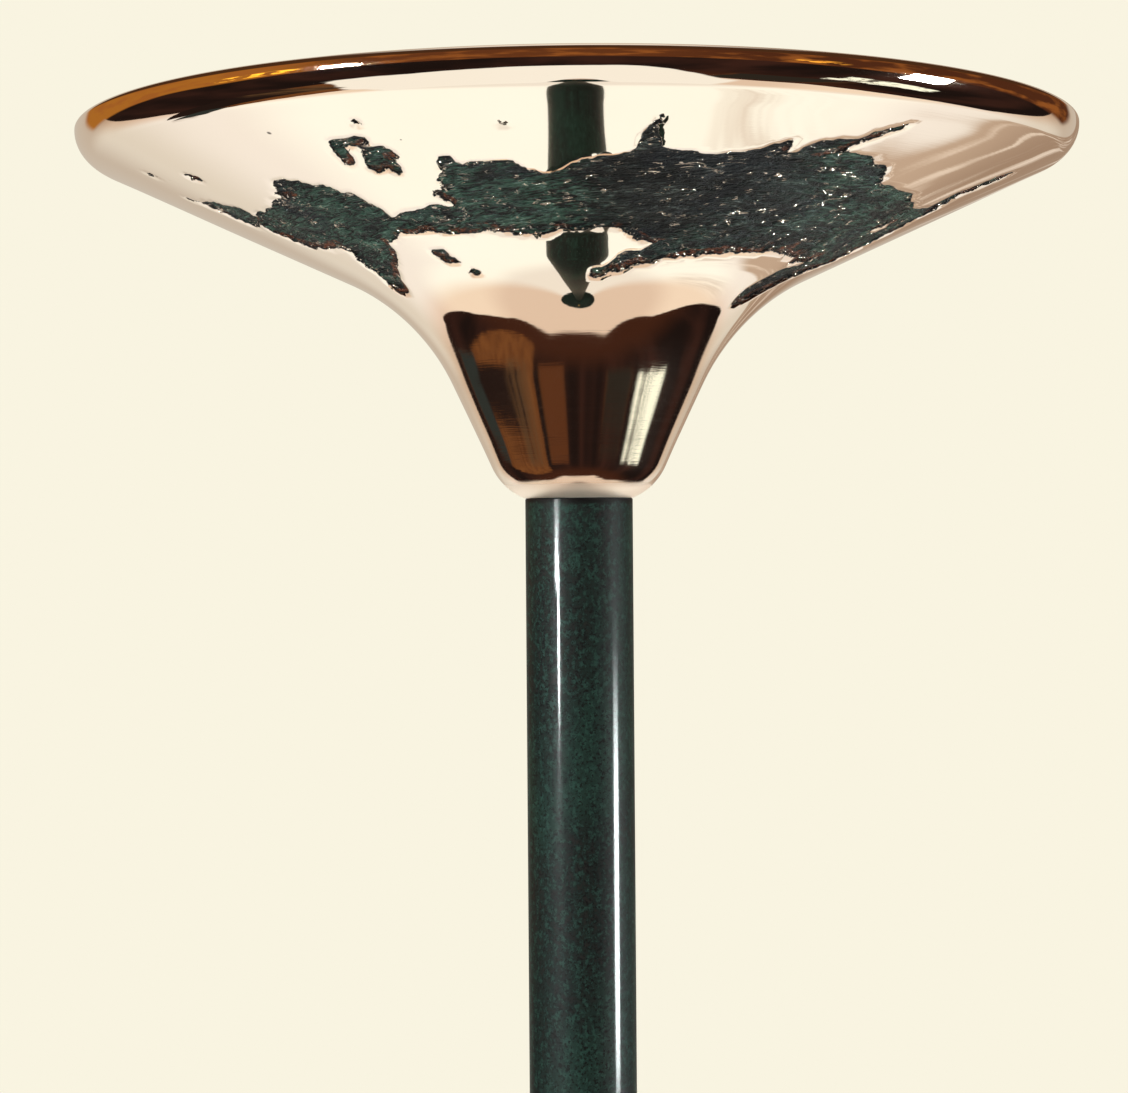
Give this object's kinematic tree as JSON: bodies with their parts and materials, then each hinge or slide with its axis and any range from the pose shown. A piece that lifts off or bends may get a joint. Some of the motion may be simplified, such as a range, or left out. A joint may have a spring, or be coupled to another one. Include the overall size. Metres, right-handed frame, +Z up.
{
  "type": "torchiere floor lamp",
  "caption": "Tall uplighter floor lamp: a wide flared cast bronze bowl on a slim dark patinated stem and a low round weighted base with a foot switch.",
  "frame": {"origin": "on the floor under the stem, at the centre of the feet", "axes": "+Z up along the stem; the foot switch faces -Y and the cord inlet +Y"},
  "size_m": [0.385, 0.385, 1.8],
  "materials": {
    "black_paint": "matt black paint",
    "black_plastic": "fine grain",
    "black_rubber": "matt",
    "black_sheath": "round flexible sheath",
    "blackened_steel": "blackened",
    "bright_aluminium": "spun, satin",
    "earth_insulation": "green and yellow insulation",
    "iron": "as cast",
    "pale_plastic": "matt",
    "patinated_bronze": "dark green-black chemical patina under a clear lacquer",
    "polished_bronze": "polished cast bronze with rough dark green patinated patches",
    "quartz_glass": "clear",
    "satin_brass": "satin",
    "silicone_insulation": "heat-resistant insulation",
    "spring_steel": "bright drawn wire",
    "tinned_brass": "tinned",
    "tungsten": "drawn wire",
    "white_ceramic": "unglazed steatite",
    "zinc_steel": "zinc plated"
  },
  "bodies": {
    "stand": {"ballast_disc": "iron", "base_block_screw": "zinc_steel", "base_casting": "patinated_bronze", "base_plate": "black_paint", "base_terminal_block": "pale_plastic", "bowl": "polished_bronze", "bracket_spacers": "zinc_steel", "contact_spring": "spring_steel", "cord_inlet_bush": "black_plastic", "earth_lead": "earth_insulation", "earth_tag": "tinned_brass", "fixed_contact": "tinned_brass", "fixed_holder": "white_ceramic", "foot_nut": "zinc_steel", "foot_washer": "zinc_steel", "head_block_screw": "zinc_steel", "head_nut": "zinc_steel", "head_terminal_block": "white_ceramic", "head_washer": "zinc_steel", "heat_shield": "bright_aluminium", "holder_screws": "zinc_steel", "lamp_bracket": "zinc_steel", "live_wire": "silicone_insulation", "neutral_wire": "silicone_insulation", "plate_screws": "blackened_steel", "post_nuts": "zinc_steel", "post_plate": "zinc_steel", "rod_end_bush": "black_plastic", "rubber_feet": "black_rubber", "sprung_holder": "white_ceramic", "sprung_terminal": "tinned_brass", "stem_collar": "patinated_bronze", "stem_lead": "black_sheath", "stem_tube": "patinated_bronze", "support_posts": "zinc_steel", "switch_body": "black_plastic", "switch_lead": "black_sheath", "switch_nut": "patinated_bronze", "switch_spring": "spring_steel", "tie_rod": "zinc_steel"},
    "foot_button": {"foot_button": "satin_brass"},
    "lamp": {"lamp_tube": "quartz_glass", "lamp_caps": "white_ceramic", "lamp_filament": "tungsten"},
    "contact": {"contact_plunger": "tinned_brass"}
  },
  "joints": [
    {"name": "foot_press", "type": "slide", "parent": "stand", "child": "foot_button", "axis": [0, 0, -1], "range_m": [0, 0.004], "stiffness_N_per_m": 1500, "springref_m": -0.0015, "deforming": ["switch_spring"]},
    {"name": "lamp_shift", "type": "slide", "parent": "stand", "child": "lamp", "axis": [1, 0, 0], "range_m": [0, 0.0035], "stiffness_N_per_m": 1200, "springref_m": -0.0015},
    {"name": "contact_slide", "type": "slide", "parent": "stand", "child": "contact", "axis": [1, 0, 0], "range_m": [0, 0.0035], "deforming": ["contact_spring"]}
  ],
  "couplings": [
    {"joint": "contact_slide", "follows": "lamp_shift", "ratio": 1}
  ]
}
